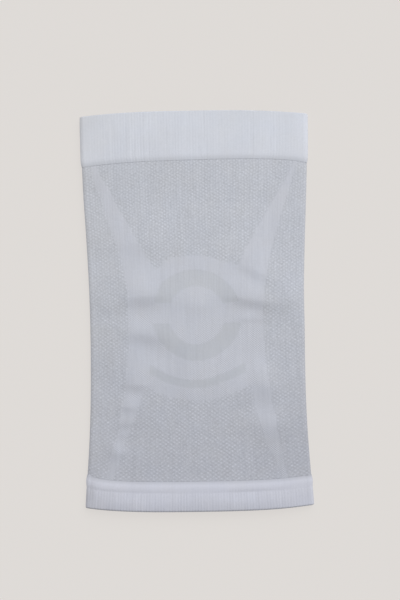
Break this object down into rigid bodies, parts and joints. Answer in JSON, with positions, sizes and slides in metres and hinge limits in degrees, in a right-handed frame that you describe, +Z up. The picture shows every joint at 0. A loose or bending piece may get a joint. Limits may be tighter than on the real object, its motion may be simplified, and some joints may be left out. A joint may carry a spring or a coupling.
{
  "type": "knee compression sleeve",
  "caption": "Seamless knitted tube worn over the knee, lying flat, with ribbed cuffs at both ends and a plain-knit support web with arcs round the kneecap.",
  "frame": {"origin": "middle of the face that the sleeve lies on", "axes": "+Z up, away from the floor and out of the sleeve's front; +Y along the sleeve towards its thigh end; +X across it"},
  "size_m": [0.1566, 0.2734, 0.0102],
  "materials": {
    "rib_knit": "soft white rib knit with a faint cool cast",
    "mesh_knit": "off-white mesh knit with staggered pin dots",
    "plain_knit": "close white plain knit, smoother than the mesh",
    "thin_knit": "thinner greyish-white knit with fine lengthwise lines"
  },
  "bodies": {
    "root": {"thigh_cuff": "rib_knit", "knit_body": "mesh_knit", "support_web": "plain_knit", "kneecap_arc_upper": "thin_knit", "kneecap_arc_lower": "thin_knit", "tendon_arc": "thin_knit", "calf_cuff": "rib_knit"}
  },
  "joints": []
}
